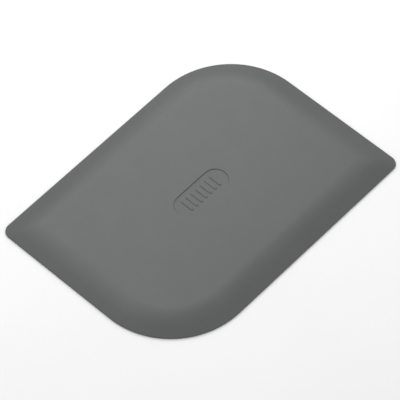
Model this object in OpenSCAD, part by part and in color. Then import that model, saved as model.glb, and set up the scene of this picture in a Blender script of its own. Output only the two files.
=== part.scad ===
// Bowl scraper: a grey silicone card with a thin flexible lip, moulded round a spring steel core.
// Lengths are in millimetres. The card lies on its flat back, +Z is up and +X runs along its length.
// Two opposite corners are wide arcs that fit a bowl, and the other two are tight for pans and tins.

/* [Card] */
// Length of the card
card_l = 150; // [120:1:180]
// Width of the card
card_w = 110; // [100:1:130]
// Height of the middle of the face above the back
card_h = 4.4; // [4.2:0.1:6]
// Radius of the two round corners
round_r = 41; // [20:1:44]
// Radius of the two tight corners at the rim
tip_r = 4.5; // [3:0.5:6]
// Radius of the two tight corners at the edge of the face
face_tip_r = 3; // [2:0.5:5]

/* [Lip and bevel] */
// Thickness of the lip at the rim
lip_t = 1; // [0.8:0.1:1.4]
// Rounding of the lip's upper edge
lip_round = 0.3; // [0.1:0.05:0.3]
// Chamfer of the lip's lower edge
lip_chamfer = 0.15; // [0.05:0.05:0.2]
// Distance from the rim to the middle of the bend between the bevel and the face
bevel_w = 9.6; // [8:0.2:10.4]
// Width of that bend
bend_w = 10; // [4:0.5:12]
// Rise of the face from the end of the bend to its flat middle
crown_h = 0.3; // [0.1:0.05:0.4]
// Distance from the rim to the flat middle of the face
flat_inset = 40; // [30:1:42]

/* [Thumb mark] */
// Length of the round-ended recess in the middle of the face
mark_l = 31; // [20:1:36]
// Width of the recess
mark_w = 12.6; // [8:0.2:16]
// Depth of the recess
mark_depth = 0.4; // [0.2:0.05:0.6]
// Number of cross ribs in the recess
rib_count = 7; // [3:2:9]
// Width of a rib
rib_w = 1.3; // [0.8:0.1:2]
// Distance from one rib to the next
rib_pitch = 3.1; // [2.4:0.1:3.6]
// Length of a rib
rib_l = 7.4; // [4:0.2:7.6]
// Distance of the rib tops below the face
rib_drop = 0.1; // [0.05:0.05:0.15]

/* [Back pad] */
// Distance from the rim to the seam on the back
pad_inset = 8; // [7:0.5:9]
// Thickness of the silicone below the core
pad_floor = 1.4; // [1:0.1:1.5]
// Diameter of the gate mark in the middle of the back
gate_d = 4; // [3:0.5:5]
// Depth of the gate mark
gate_depth = 0.3; // [0.2:0.1:0.4]
// Diameter of a locating peg
peg_d = 4; // [3:0.5:5]
// Place of the pegs along the core, as a share of the way from its middle to its end
peg_share_x = 0.85; // [0.8:0.01:0.88]
// Place of the pegs across the core, as a share of the way from its middle to its side
peg_share_y = 0.3; // [0.2:0.01:0.4]

/* [Core] */
// Thickness of the steel core
core_t = 0.8; // [0.6:0.1:0.8]
// Distance from the rim to the edge of the core
core_inset = 14; // [12:0.5:18]
// Diameter of a keying hole
key_d = 7; // [4:0.5:8]
// Number of keying holes along the length
key_cols = 4; // [2:1:5]
// Number of keying holes across the width
key_rows = 3; // [2:1:3]
// Share of the core's length and width that the centres of the keying holes span
key_share = 0.63; // [0.5:0.01:0.66]

/* [Hidden] */
$fn = 48;
round_steps = 24;
tip_steps = 6;
bend_steps = 8;
crown_steps = 6;
mark_steps = 16;
bend_start = bevel_w - bend_w / 2;
bend_end = bevel_w + bend_w / 2;
crown_slope = 2 * crown_h / (flat_inset - bend_end);
bevel_slope = (card_h - crown_h - lip_t - crown_slope * bend_w / 2) / bevel_w;
pad_h = pad_floor + core_t;
core_l = card_l - 2 * core_inset;
core_w = card_w - 2 * core_inset;
key_spots = [
    for (i = [0 : key_cols - 1], j = [0 : key_rows - 1])
        [(i / (key_cols - 1) - 0.5) * key_share * core_l, (j / (key_rows - 1) - 0.5) * key_share * core_w]
];
peg_spots = [for (sx = [-1, 1], sy = [-1, 1]) [sx * peg_share_x * core_l / 2, sy * peg_share_y * core_w / 2]];

// Height of the card's upper surface at a distance from the rim: a straight bevel, a bend
// whose slope falls evenly, and a low crown that levels out at the flat middle.
function top_z(inset) =
    inset <= bend_start ? lip_t + bevel_slope * inset
    : inset <= bend_end ? lip_t + bevel_slope * inset
        - (bevel_slope - crown_slope) * pow(inset - bend_start, 2) / (2 * bend_w)
    : card_h - crown_h * pow((flat_inset - inset) / (flat_inset - bend_end), 2);

// Radius of a round and of a tight corner at a distance from the rim.
function round_at(inset) = max(round_r - inset, face_tip_r);
function tip_at(inset) = tip_r - (tip_r - face_tip_r) * min(inset / bevel_w, 1);

// One corner's arc of 90 degrees from a start angle, in the quarter that two signs give.
function corner(inset, sx, sy, r, start, steps) = [
    for (i = [0 : steps])
        let (a = start + 90 * i / steps)
        [sx * (card_l / 2 - inset - r) + r * cos(a), sy * (card_w / 2 - inset - r) + r * sin(a)]
];

// The card's outline at a distance inside the rim, counter-clockwise from above.
function outline(inset) = concat(
    corner(inset, 1, 1, round_at(inset), 0, round_steps),
    corner(inset, -1, 1, tip_at(inset), 90, tip_steps),
    corner(inset, -1, -1, round_at(inset), 180, round_steps),
    corner(inset, 1, -1, tip_at(inset), 270, tip_steps)
);

// Inset and height of each ring of the card's surface, from the back, over the lip to the flat middle.
function rings() = concat(
    [[lip_chamfer, 0], [0, lip_chamfer], [0, lip_t - lip_round]],
    [for (a = [30 : 30 : 60]) [lip_round * (1 - cos(a)), lip_t - lip_round * (1 - sin(a))]],
    [[lip_round, top_z(lip_round)]],
    [for (i = [0 : bend_steps]) let (d = bend_start + bend_w * i / bend_steps) [d, top_z(d)]],
    [for (i = [1 : crown_steps]) let (d = bend_end + (flat_inset - bend_end) * i / crown_steps) [d, top_z(d)]]
);

// The round-ended outline of the thumb mark, counter-clockwise from above.
function mark_outline() = [
    for (side = [1, -1], i = [0 : mark_steps])
        let (a = 180 * i / mark_steps - 90 * side)
        [side * (mark_l - mark_w) / 2 + mark_w / 2 * cos(a), mark_w / 2 * sin(a)]
];

// The whole card as one solid: rings of outline points joined by triangles, closed by two flat caps.
module card_solid() {
    levels = rings();
    n = len(outline(0));
    last = (len(levels) - 1) * n;
    polyhedron(
        points = [for (v = levels, p = outline(v[0])) [p[0], p[1], v[1]]],
        faces = concat(
            [[for (i = [0 : n - 1]) i]],
            [for (k = [0 : len(levels) - 2], i = [0 : n - 1])
                let (a = k * n + i, b = k * n + (i + 1) % n) each [[a, a + n, b], [b, a + n, b + n]]],
            [[for (i = [n - 1 : -1 : 0]) last + i]]
        )
    );
}

// A flat plate with the card's outline at a distance inside the rim, from z0 to z1.
module inset_plate(inset, z0, z1) {
    translate([0, 0, z0])
        linear_extrude(z1 - z0)
            polygon(outline(inset));
}

// Round pins at a list of places, from z0 to z1.
module pins(spots, d, z0, z1) {
    for (p = spots)
        translate([p[0], p[1], z0])
            cylinder(h = z1 - z0, d = d);
}

// The cross ribs in the thumb mark.
module ribs() {
    for (i = [0 : rib_count - 1])
        translate([(i - (rib_count - 1) / 2) * rib_pitch - rib_w / 2, -rib_l / 2, card_h - mark_depth])
            cube([rib_w, rib_l, mark_depth - rib_drop]);
}

// Silicone face with the lip. It closes over the core and keys through it onto the pad.
module face_cover() {
    color("#6f7170") {
        difference() {
            card_solid();
            inset_plate(pad_inset, -1, pad_h);
            translate([0, 0, card_h - mark_depth])
                linear_extrude(mark_depth + 1)
                    polygon(mark_outline());
        }
        ribs();
        pins(key_spots, key_d, pad_floor, pad_h);
    }
}

// Spring steel stiffener, sealed inside, with holes that the silicone fills.
module core_plate() {
    color("#b9bcc0")
        difference() {
            inset_plate(core_inset, pad_floor, pad_h);
            pins(key_spots, key_d, pad_floor - 1, pad_h + 1);
            pins(peg_spots, peg_d, pad_floor - 1, pad_h + 1);
        }
}

// Silicone back, moulded first as a tray whose pegs hold the core in place.
module back_pad() {
    color("#666867") {
        difference() {
            inset_plate(pad_inset, 0, pad_h);
            inset_plate(core_inset, pad_floor, pad_h + 1);
            pins([[0, 0]], gate_d, -1, gate_depth);
        }
        pins(peg_spots, peg_d, pad_floor, pad_h);
    }
}

face_cover();
core_plate();
back_pad();
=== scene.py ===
"""Looks of a silicone bowl scraper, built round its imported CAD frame. Lengths are in metres."""

import math
from functools import partial

import bmesh
import bpy
import numpy as np
from mathutils import Matrix, Vector


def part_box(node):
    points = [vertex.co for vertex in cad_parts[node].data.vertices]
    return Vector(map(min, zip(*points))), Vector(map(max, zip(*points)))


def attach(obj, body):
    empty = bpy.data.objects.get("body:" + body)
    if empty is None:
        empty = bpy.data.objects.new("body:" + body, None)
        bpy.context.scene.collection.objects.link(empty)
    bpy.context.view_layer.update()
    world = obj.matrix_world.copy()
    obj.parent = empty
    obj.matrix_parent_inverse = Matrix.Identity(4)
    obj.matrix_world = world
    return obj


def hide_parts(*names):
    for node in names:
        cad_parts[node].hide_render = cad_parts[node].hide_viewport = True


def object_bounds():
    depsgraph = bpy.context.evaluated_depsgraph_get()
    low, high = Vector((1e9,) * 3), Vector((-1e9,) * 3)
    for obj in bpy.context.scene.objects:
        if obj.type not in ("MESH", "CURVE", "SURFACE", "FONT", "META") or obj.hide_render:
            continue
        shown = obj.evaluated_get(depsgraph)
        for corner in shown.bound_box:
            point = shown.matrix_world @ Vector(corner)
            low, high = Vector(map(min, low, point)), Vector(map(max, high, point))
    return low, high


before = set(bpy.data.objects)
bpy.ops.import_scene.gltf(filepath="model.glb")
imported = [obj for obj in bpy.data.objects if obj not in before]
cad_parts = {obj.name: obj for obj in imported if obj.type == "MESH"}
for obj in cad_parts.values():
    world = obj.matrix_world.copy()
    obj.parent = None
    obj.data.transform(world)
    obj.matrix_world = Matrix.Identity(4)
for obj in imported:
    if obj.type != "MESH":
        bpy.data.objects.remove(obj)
CAD_LOW, CAD_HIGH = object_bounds()

MM = 0.001
BODY = "root"

# Sizes that the frame gives
PAD_LOW, PAD_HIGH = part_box("back_pad")
CORE_LOW, CORE_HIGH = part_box("core_plate")
CARD_L, CARD_W, CARD_H = CAD_HIGH - CAD_LOW
PAD_INSET = PAD_LOW.x - CAD_LOW.x
CORE_INSET = CORE_LOW.x - CAD_LOW.x
PAD_FLOOR = CORE_LOW.z
PAD_H = PAD_HIGH.z

# Card outline: two round corners on one diagonal, two tight ones on the other
ROUND_R = 41 * MM
TIP_R = 4.5 * MM
FACE_TIP_R = 3 * MM

# Lip, bevel and face
LIP_T = 1 * MM
LIP_ROUND = 0.35 * MM
LIP_STEPS = 5
BEVEL_W = 9.6 * MM
BEND_W = 10 * MM
CROWN_H = 0.3 * MM
BEND_START = BEVEL_W - BEND_W / 2
BEND_END = BEVEL_W + BEND_W / 2
BEVEL_SLOPE = (CARD_H - CROWN_H - LIP_T) / BEVEL_W
LAST_INSET = 38 * MM

# Lower edge of the lip as inset past the wall and height, and the flash line above it as inset and
# height from its crest
FLASH_H = 0.15 * MM
FLASH_OUT = 0.06 * MM
LOWER_EDGE = ((0.12 * MM, 0), (0.03 * MM, 0.02 * MM), (0, 0.07 * MM))
FLASH_CREST = ((0.01 * MM, -0.03 * MM), (0, 0), (0.01 * MM, 0.03 * MM))
FLASH_TOP = 0.08 * MM

# Thumb mark
MARK_L = 31 * MM
MARK_W = 12.6 * MM
MARK_DEPTH = 0.4 * MM
MARK_ROUND = 0.16 * MM
RIB_COUNT = 7
RIB_W = 1.3 * MM
RIB_PITCH = 3.1 * MM
RIB_L = 7.4 * MM
RIB_DROP = 0.1 * MM
RIB_ROUND = 0.12 * MM

# Back: seam, gate mark, keys and pegs
SEAM_ROUND = 0.14 * MM
SEAM_GAP = 0.01 * MM
GATE_R = 2 * MM
GATE_DEPTH = 0.3 * MM
GATE_ROUND = 0.12 * MM
NUB_R = 0.7 * MM
NUB_H = 0.18 * MM
NUB_ROUND = 0.08 * MM
KEY_R = 3.5 * MM
KEY_COLS = 4
KEY_ROWS = 3
KEY_SHARE = 0.63
PEG_R = 2 * MM
PEG_SHARE_X = 0.85
PEG_SHARE_Y = 0.3

# Distances of two loops on the flat back: one from the rim, one from the seam
RIM_RING = 1.5 * MM
SEAM_RING = 1 * MM

# Points along the outlines
ROUND_STEPS = 24
TIP_STEPS = 10
LONG_STEPS = 40
SHORT_STEPS = 26
HOLE_STEPS = 40
RIB_STEPS = 40

# Loops across the bevel, the bend, the face and its middle, and steps in a quarter round
BEVEL_LOOPS = 5
BEND_LOOPS = 14
FACE_LOOPS = 11
MIDDLE_LOOPS = 8
QUARTER_STEPS = 4

# Angle in degrees from which the edge between two faces stays sharp
SHARP_ANGLE = 40

# Silicone: sizes of the patches in its surface, depths of its relief, its gloss and its colours
BLOTCH_SIZE = 14 * MM
SPECK_SIZE = 0.9 * MM
SPECK_SHARE = 0.4
TONE_SPREAD = 0.035
GLOSS_SIZE = 5 * MM
SILICONE_ROUGHNESS = (0.32, 0.37)
SILICONE_IOR = 1.41
WAVE_SIZE = 9 * MM
WAVE_DEPTH = 0.04 * MM
WAVE_STRENGTH = 0.3
GRAIN_SIZE = 0.25 * MM
GRAIN_DEPTH = 0.012 * MM
GRAIN_STRENGTH = 0.6
FACE_COLOUR = (0.0944, 0.0989, 0.0967)
BACK_COLOUR = (0.091, 0.0954, 0.0932)

# Spring steel: its grain, colours and gloss
ROLL_SIZE = 0.3 * MM
ROLL_STRETCH = (0.02, 1, 1)
ROLL_DEPTH = 0.004 * MM
ROLL_STRENGTH = 0.5
STEEL_DARK = (0.5, 0.51, 0.52)
STEEL_LIGHT = (0.6, 0.61, 0.62)
STEEL_ROUGHNESS = (0.24, 0.38)

# Floor
FLOOR_HALF = 3.0
FLOOR_DROP = 0.02 * MM
FLOOR_PATCH = 60 * MM
FLOOR_DARK = (0.9, 0.9, 0.9)
FLOOR_LIGHT = (0.92, 0.92, 0.92)
FLOOR_ROUGHNESS = 0.9
FLOOR_SPECULAR = 0.2

# Middle of a noise's range, and the colour sockets of Blender's mix node
NOISE_LOW = 0.3
NOISE_HIGH = 0.7
MIX_A = 6
MIX_B = 7
MIX_OUT = 2

# Camera, from the outline fitted to the photograph
VIEW_AZIMUTH = -44.24
VIEW_ELEVATION = 56.17
VIEW_ROLL = -3.1
VIEW_DISTANCE = 1.3293
VIEW_AIM = Vector((-1.61, -0.51, 0.5)) * MM
VIEW_LENS = 261.1
VIEW_NEAR = 0.05
VIEW_FAR = 20

# Light: an even white room, and softboxes round the place where the face mirrors the camera.
# Each has its turn from the side opposite the camera, elevation, distance, side and radiance.
ROOM_STRENGTH = 0.75
SOFTBOXES = {
    "middle": (13, 57, 0.45, 0.27, 0.76),
    "right": (-15, 50, 0.45, 0.27, 0.94),
    "left": (50, 62, 0.4, 0.27, 1.16),
    "low": (5, 38, 0.6, 0.3, 1.64),
}


def direction(azimuth, elevation):
    """Unit vector from the card towards a place given by azimuth and elevation in degrees."""
    a = math.radians(azimuth)
    e = math.radians(elevation)
    return Vector((math.sin(a) * math.cos(e), -math.cos(a) * math.cos(e), math.sin(e)))


def outline(inset):
    """The card's outline at a distance inside the rim, counter-clockwise, as rows of x and y."""
    round_r = max(ROUND_R - inset, FACE_TIP_R)
    tip_r = TIP_R - (TIP_R - FACE_TIP_R) * min(inset / BEVEL_W, 1)
    corners = (
        (1, 1, round_r, ROUND_STEPS),
        (-1, 1, tip_r, TIP_STEPS),
        (-1, -1, round_r, ROUND_STEPS),
        (1, -1, tip_r, TIP_STEPS),
    )
    arcs = []
    for quarter, (sx, sy, r, steps) in enumerate(corners):
        angles = np.radians(90 * quarter + np.linspace(0, 90, steps + 1))
        centre = np.array((sx * (CARD_L / 2 - inset - r), sy * (CARD_W / 2 - inset - r)))
        arcs.append(centre + r * np.stack((np.cos(angles), np.sin(angles)), axis=1))
    parts = []
    for k, steps in enumerate((LONG_STEPS, SHORT_STEPS, LONG_STEPS, SHORT_STEPS)):
        start, end = arcs[k][-1], arcs[(k + 1) % 4][0]
        share = np.arange(1, steps)[:, None] / steps
        parts += [arcs[k], start + (end - start) * share]
    return np.concatenate(parts)


def stadium(length, width, grow, count):
    """A round-ended outline along X, grown outward, with points evenly spaced before it grows."""
    r = width / 2
    half = length / 2 - r
    quarter_arc = math.pi * r / 2
    total = 4 * (half + quarter_arc)
    rows = []
    for i in range(count):
        s = total * i / count
        side = 1
        if s > total / 2:
            s -= total / 2
            side = -1
        if s < quarter_arc:
            angle = s / r
            x = half + r * math.cos(angle)
        elif s < quarter_arc + 2 * half:
            angle = math.pi / 2
            x = half - (s - quarter_arc)
        else:
            angle = (s - 2 * half) / r
            x = -half + r * math.cos(angle)
        y = r * math.sin(angle)
        rows.append((side * (x + grow * math.cos(angle)), side * (y + grow * math.sin(angle))))
    return np.array(rows)


def circle(centre, r):
    """Points round a circle, counter-clockwise."""
    angles = np.radians(np.arange(HOLE_STEPS) * 360 / HOLE_STEPS)
    return np.array(centre) + r * np.stack((np.cos(angles), np.sin(angles)), axis=1)


def middle_circle(r, grow):
    """A circle round the middle of the card, grown outward."""
    return circle((0, 0), r + grow)


def base_height(inset):
    """Height of the bevel and its bend at a distance from the rim, without the crown."""
    bent = min(max(inset - BEND_START, 0), BEND_W)
    return LIP_T + BEVEL_SLOPE * (min(inset, BEND_END) - bent**2 / (2 * BEND_W))


def crown(xy):
    """Low swell of the face, level at its edge and in its middle."""
    across = 1 - (xy / (np.array((CARD_L, CARD_W)) / 2 - BEND_START)) ** 2
    share = np.clip(across, 0, 1).prod(axis=1)
    return CROWN_H * share**2 * (3 - 2 * share)


def quarter_round():
    """Across and along shares of a quarter round, from its flat end to its steep end."""
    angles = np.linspace(0, math.pi / 2, QUARTER_STEPS + 1)
    return [(math.sin(a), 1 - math.cos(a)) for a in angles]


class Shell:
    """One closed mesh, built from loops of points, strips between loops, and flat fills."""

    def __init__(self):
        self.mesh = bmesh.new()

    def loop(self, xy, z):
        """Vertices at one height, or at a height for each point."""
        heights = np.broadcast_to(z, len(xy))
        return [self.mesh.verts.new((x, y, h)) for (x, y), h in zip(xy, heights)]

    def strip(self, *loops):
        """Quads between each loop and the next."""
        for a, b in zip(loops, loops[1:]):
            for i in range(len(a)):
                self.mesh.faces.new((a[i - 1], a[i], b[i], b[i - 1]))

    def fill(self, outer, *holes):
        """Triangles over the flat area inside the outer loop and outside the holes."""
        edges = []
        for points in (outer, *holes):
            for i in range(len(points)):
                pair = (points[i - 1], points[i])
                edges.append(self.mesh.edges.get(pair) or self.mesh.edges.new(pair))
        bmesh.ops.triangle_fill(self.mesh, edges=edges, use_beauty=True, normal=(0, 0, 1))

    def boss(self, points_at, low, high, round_r):
        """A raised or sunk shape with rounded edges. Takes its outline as a function of how far it is
        grown, and gives its loop on the floor."""
        turn = math.copysign(round_r, high - low)
        arc = quarter_round()
        foot = [self.loop(points_at(round_r * (1 - s)), low + turn * c) for s, c in arc]
        head = [self.loop(points_at(-round_r * c), high - turn * (1 - s)) for s, c in arc]
        self.strip(*foot, *head)
        self.fill(head[-1])
        return foot[0]

    def piece(self, name):
        """The finished object, with faces turned outward and smooth normals."""
        bmesh.ops.recalc_face_normals(self.mesh, faces=self.mesh.faces)
        data = bpy.data.meshes.new(name)
        self.mesh.to_mesh(data)
        self.mesh.free()
        data.shade_smooth()
        data.set_sharp_from_angle(angle=math.radians(SHARP_ANGLE))
        piece = bpy.data.objects.new(name, data)
        bpy.context.scene.collection.objects.link(piece)
        piece.modifiers.new("weighted_normals", "WEIGHTED_NORMAL").keep_sharp = True
        return piece


def rim_profile():
    """Inset and height round the lip, from the back, over a faint flash line, to the start of the bevel."""
    slope = math.atan(BEVEL_SLOPE)
    tangent_inset = FLASH_OUT + LIP_ROUND * (1 - math.sin(slope))
    centre_z = LIP_T + BEVEL_SLOPE * tangent_inset - LIP_ROUND * math.cos(slope)
    rows = [(FLASH_OUT + inset, z) for inset, z in LOWER_EDGE]
    rows += [(inset, FLASH_H + z) for inset, z in FLASH_CREST]
    rows += [(FLASH_OUT, FLASH_H + FLASH_TOP), (FLASH_OUT, (FLASH_H + centre_z) / 2)]
    for a in np.linspace(0, math.pi / 2 - slope, LIP_STEPS + 1):
        rows.append((FLASH_OUT + LIP_ROUND * (1 - math.cos(a)), centre_z + LIP_ROUND * math.sin(a)))
    return rows


def key_spots():
    """Centres of the keys, spread over the core."""
    span = np.array((CORE_HIGH.x - CORE_LOW.x, CORE_HIGH.y - CORE_LOW.y)) * KEY_SHARE
    columns = np.linspace(-0.5, 0.5, KEY_COLS)
    rows = np.linspace(-0.5, 0.5, KEY_ROWS)
    return [span * (x, y) for x in columns for y in rows]


def peg_spots():
    """Centres of the locating pegs, near the ends of the core."""
    return [
        np.array((sx * PEG_SHARE_X * CORE_HIGH.x, sy * PEG_SHARE_Y * CORE_HIGH.y))
        for sx in (-1, 1)
        for sy in (-1, 1)
    ]


def mark_outline(grow):
    """The thumb mark's outline with as many points as the card's, starting at the same side."""
    count = len(outline(0))
    return np.roll(stadium(MARK_L, MARK_W, grow, count), -(SHORT_STEPS // 2), axis=0)


def rib_outline(number, grow):
    """The outline of one cross rib of the thumb mark."""
    middle = (number - (RIB_COUNT - 1) / 2) * RIB_PITCH
    return stadium(RIB_L, RIB_W, grow, RIB_STEPS)[:, ::-1] * (-1, 1) + (middle, 0)


def make_cover():
    """The silicone face: lip, bevel, face with its thumb mark, and the hollow that holds pad and core."""
    shell = Shell()
    arc = quarter_round()
    rim = [shell.loop(outline(inset), z) for inset, z in rim_profile()]
    rim_top = rim_profile()[-1][0]
    insets = [
        *np.linspace(rim_top, BEND_START, BEVEL_LOOPS + 1)[1:],
        *np.linspace(BEND_START, BEND_END, BEND_LOOPS + 1)[1:],
        *np.linspace(BEND_END, LAST_INSET, FACE_LOOPS + 1)[1:],
    ]
    face = []
    for inset in insets:
        xy = outline(inset)
        face.append(shell.loop(xy, base_height(inset) + crown(xy)))

    outer = outline(LAST_INSET)
    inner = mark_outline(MARK_ROUND)
    middle = []
    for share in np.linspace(0, 1, MIDDLE_LOOPS + 1)[1:]:
        xy = outer + (inner - outer) * share
        middle.append(shell.loop(xy, base_height(LAST_INSET) + crown(xy)))
    floor_z = CARD_H - MARK_DEPTH
    lip = [shell.loop(mark_outline(MARK_ROUND * (1 - s)), CARD_H - MARK_ROUND * c) for s, c in arc[1:]]
    foot = [shell.loop(mark_outline(-MARK_ROUND * c), floor_z + MARK_ROUND * (1 - s)) for s, c in arc]
    shell.strip(*rim, *face, *middle, *lip, *foot)
    ribs = [
        shell.boss(partial(rib_outline, number), floor_z, CARD_H - RIB_DROP, RIB_ROUND)
        for number in range(RIB_COUNT)
    ]
    shell.fill(foot[-1], *ribs)

    back = [shell.loop(outline(inset), 0) for inset in (RIM_RING, PAD_INSET - SEAM_RING)]
    seam = [shell.loop(outline(PAD_INSET - SEAM_ROUND * (1 - s)), SEAM_ROUND * c) for s, c in arc]
    ceiling = shell.loop(outline(PAD_INSET), PAD_H)
    shell.strip(rim[0], *back, *seam, ceiling)
    keys = []
    for spot in key_spots():
        top = shell.loop(circle(spot, KEY_R), PAD_H)
        tip = shell.loop(circle(spot, KEY_R), PAD_FLOOR)
        shell.strip(top, tip)
        shell.fill(tip)
        keys.append(top)
    shell.fill(ceiling, *keys)
    return shell.piece("silicone_face")


def make_pad():
    """The silicone back: a tray with a rounded edge, locating pegs and a gate mark."""
    shell = Shell()
    arc = quarter_round()
    wall = PAD_INSET + SEAM_GAP
    edge = [shell.loop(outline(wall + SEAM_ROUND * (1 - s)), SEAM_ROUND * c) for s, c in arc]
    top_out = shell.loop(outline(wall), PAD_H)
    top_in = shell.loop(outline(CORE_INSET), PAD_H)
    tray = shell.loop(outline(CORE_INSET), PAD_FLOOR)
    shell.strip(*edge, top_out, top_in, tray)
    pegs = []
    for spot in peg_spots():
        foot = shell.loop(circle(spot, PEG_R), PAD_FLOOR)
        head = shell.loop(circle(spot, PEG_R), PAD_H)
        shell.strip(foot, head)
        shell.fill(head)
        pegs.append(foot)
    shell.fill(tray, *pegs)

    mouth = [shell.loop(middle_circle(GATE_R, GATE_ROUND * (1 - s)), GATE_ROUND * c) for s, c in arc]
    dish = [
        shell.loop(middle_circle(GATE_R, -GATE_ROUND * c), GATE_DEPTH - GATE_ROUND * (1 - s)) for s, c in arc
    ]
    shell.strip(*mouth, *dish)
    nub = shell.boss(partial(middle_circle, NUB_R), GATE_DEPTH, GATE_DEPTH - NUB_H, NUB_ROUND)
    shell.fill(dish[-1], nub)
    shell.fill(edge[0], mouth[0])
    return shell.piece("silicone_back")


class Nodes:
    """A material's node tree, with one short call for each kind of node it needs."""

    def __init__(self, name):
        self.material = bpy.data.materials.new(name)
        self.material.use_nodes = True
        self.tree = self.material.node_tree
        self.shader = self.tree.nodes["Principled BSDF"]
        self.place = self.tree.nodes.new("ShaderNodeTexCoord").outputs["Object"]

    def link(self, output, target):
        self.tree.links.new(output, target)

    def noise(self, size, detail=2.0, stretch=(1, 1, 1)):
        """Noise whose features are about one size across, in metres."""
        mapping = self.tree.nodes.new("ShaderNodeMapping")
        mapping.inputs["Scale"].default_value = stretch
        node = self.tree.nodes.new("ShaderNodeTexNoise")
        node.inputs["Scale"].default_value = 1 / size
        node.inputs["Detail"].default_value = detail
        self.link(self.place, mapping.inputs["Vector"])
        self.link(mapping.outputs["Vector"], node.inputs["Vector"])
        return node.outputs["Fac"]

    def spread(self, value, low, high):
        """Takes the middle of a noise's range to a range of values."""
        node = self.tree.nodes.new("ShaderNodeMapRange")
        node.inputs["From Min"].default_value = NOISE_LOW
        node.inputs["From Max"].default_value = NOISE_HIGH
        node.inputs["To Min"].default_value = low
        node.inputs["To Max"].default_value = high
        self.link(value, node.inputs["Value"])
        return node.outputs["Result"]

    def tone(self, value, dark, light):
        """Takes the middle of a noise's range to a blend of two colours."""
        node = self.tree.nodes.new("ShaderNodeValToRGB")
        node.color_ramp.elements[0].position = NOISE_LOW
        node.color_ramp.elements[0].color = (*dark, 1)
        node.color_ramp.elements[1].position = NOISE_HIGH
        node.color_ramp.elements[1].color = (*light, 1)
        self.link(value, node.inputs["Fac"])
        return node.outputs["Color"]

    def blend(self, a, b, share):
        """A colour part of the way from a to b."""
        node = self.tree.nodes.new("ShaderNodeMix")
        node.data_type = "RGBA"
        node.inputs["Factor"].default_value = share
        self.link(a, node.inputs[MIX_A])
        self.link(b, node.inputs[MIX_B])
        return node.outputs[MIX_OUT]

    def bump(self, height, depth, strength, under=None):
        """Relief of a real depth on the surface, or on the relief under it."""
        node = self.tree.nodes.new("ShaderNodeBump")
        node.inputs["Distance"].default_value = depth
        node.inputs["Strength"].default_value = strength
        self.link(height, node.inputs["Height"])
        if under is not None:
            self.link(under, node.inputs["Normal"])
        return node.outputs["Normal"]


def silicone(name, colour):
    """Matt moulded silicone: a fine spark-eroded grain, faint flow blotches and uneven gloss."""
    nodes = Nodes(name)
    dark = tuple(c * (1 - TONE_SPREAD) for c in colour)
    light = tuple(c * (1 + TONE_SPREAD) for c in colour)
    blotches = nodes.tone(nodes.noise(BLOTCH_SIZE, detail=3), dark, light)
    specks = nodes.tone(nodes.noise(SPECK_SIZE), dark, light)
    nodes.link(nodes.blend(blotches, specks, SPECK_SHARE), nodes.shader.inputs["Base Color"])
    gloss = nodes.spread(nodes.noise(GLOSS_SIZE, detail=3), *SILICONE_ROUGHNESS)
    nodes.link(gloss, nodes.shader.inputs["Roughness"])
    waves = nodes.bump(nodes.noise(WAVE_SIZE, detail=1), WAVE_DEPTH, WAVE_STRENGTH)
    grain = nodes.bump(nodes.noise(GRAIN_SIZE), GRAIN_DEPTH, GRAIN_STRENGTH, waves)
    nodes.link(grain, nodes.shader.inputs["Normal"])
    nodes.shader.inputs["IOR"].default_value = SILICONE_IOR
    return nodes.material


def spring_steel(name):
    """Rolled spring steel with a fine lengthwise grain."""
    nodes = Nodes(name)
    lines = nodes.noise(ROLL_SIZE, detail=4, stretch=ROLL_STRETCH)
    nodes.link(nodes.tone(lines, STEEL_DARK, STEEL_LIGHT), nodes.shader.inputs["Base Color"])
    nodes.link(nodes.spread(lines, *STEEL_ROUGHNESS), nodes.shader.inputs["Roughness"])
    nodes.link(nodes.bump(lines, ROLL_DEPTH, ROLL_STRENGTH), nodes.shader.inputs["Normal"])
    nodes.shader.inputs["Metallic"].default_value = 1
    return nodes.material


def floor_white():
    """Matt white of the floor, barely uneven."""
    nodes = Nodes("floor_white")
    tone = nodes.tone(nodes.noise(FLOOR_PATCH, detail=3), FLOOR_DARK, FLOOR_LIGHT)
    nodes.link(tone, nodes.shader.inputs["Base Color"])
    nodes.shader.inputs["Roughness"].default_value = FLOOR_ROUGHNESS
    nodes.shader.inputs["Specular IOR Level"].default_value = FLOOR_SPECULAR
    return nodes.material


def wear(piece, material):
    """Gives a piece one material."""
    piece.data.materials.clear()
    piece.data.materials.append(material)


def make_floor():
    """A wide plain floor just under the card."""
    data = bpy.data.meshes.new("floor")
    corners = [(FLOOR_HALF * x, FLOOR_HALF * y, 0) for x, y in ((-1, -1), (1, -1), (1, 1), (-1, 1))]
    data.from_pydata(corners, [], [(0, 1, 2, 3)])
    floor = bpy.data.objects.new("floor", data)
    floor.location.z = -FLOOR_DROP
    bpy.context.scene.collection.objects.link(floor)
    wear(floor, floor_white())


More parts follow.
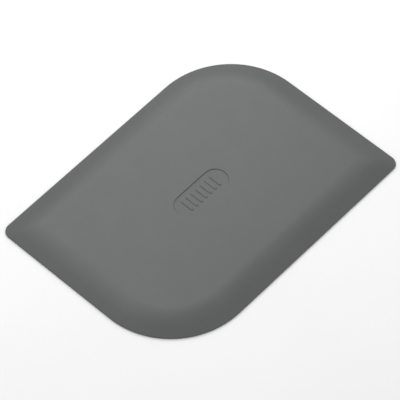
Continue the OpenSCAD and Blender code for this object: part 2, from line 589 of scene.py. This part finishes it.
def softbox(name, azimuth, elevation, distance, side, radiance):
    """A square area light of an even radiance that faces the card."""
    light = bpy.data.lights.new(name, "AREA")
    light.shape = "SQUARE"
    light.size = side
    light.energy = radiance * math.pi * side**2
    lamp = bpy.data.objects.new(name, light)
    away = direction(azimuth, elevation)
    lamp.location = away * distance
    lamp.rotation_euler = away.to_track_quat("Z", "Y").to_euler()
    bpy.context.scene.collection.objects.link(lamp)


def make_lights():
    """The white room and the softboxes."""
    world = bpy.data.worlds.new("studio")
    world.use_nodes = True
    background = world.node_tree.nodes["Background"]
    background.inputs["Color"].default_value = (1, 1, 1, 1)
    background.inputs["Strength"].default_value = ROOM_STRENGTH
    bpy.context.scene.world = world
    for name, (turn, elevation, distance, side, radiance) in SOFTBOXES.items():
        softbox(name, VIEW_AZIMUTH + 180 + turn, elevation, distance, side, radiance)


def make_camera():
    """Looks at the card as the photograph does."""
    back = direction(VIEW_AZIMUTH, VIEW_ELEVATION)
    level = Vector((math.cos(math.radians(VIEW_AZIMUTH)), math.sin(math.radians(VIEW_AZIMUTH)), 0))
    up = back.cross(level)
    roll = math.radians(VIEW_ROLL)
    right = level * math.cos(roll) + up * math.sin(roll)
    up = back.cross(right)
    camera = bpy.data.objects.new("camera", bpy.data.cameras.new("camera"))
    camera.data.lens = VIEW_LENS
    camera.data.clip_start = VIEW_NEAR
    camera.data.clip_end = VIEW_FAR
    place = Matrix.Translation(VIEW_AIM + back * VIEW_DISTANCE)
    camera.matrix_world = place @ Matrix((right, up, back)).transposed().to_4x4()
    bpy.context.scene.collection.objects.link(camera)
    bpy.context.scene.camera = camera


def dress(piece, node, material):
    """Puts a finished piece in the place of a CAD node."""
    wear(piece, material)
    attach(piece, BODY)
    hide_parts(node)


dress(make_cover(), "face_cover", silicone("face_silicone", FACE_COLOUR))
dress(make_pad(), "back_pad", silicone("back_silicone", BACK_COLOUR))
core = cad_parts["core_plate"]
core.material_slots[0].material = spring_steel("core_steel")
make_floor()
make_lights()
make_camera()
bpy.context.scene.view_settings.view_transform = "Standard"
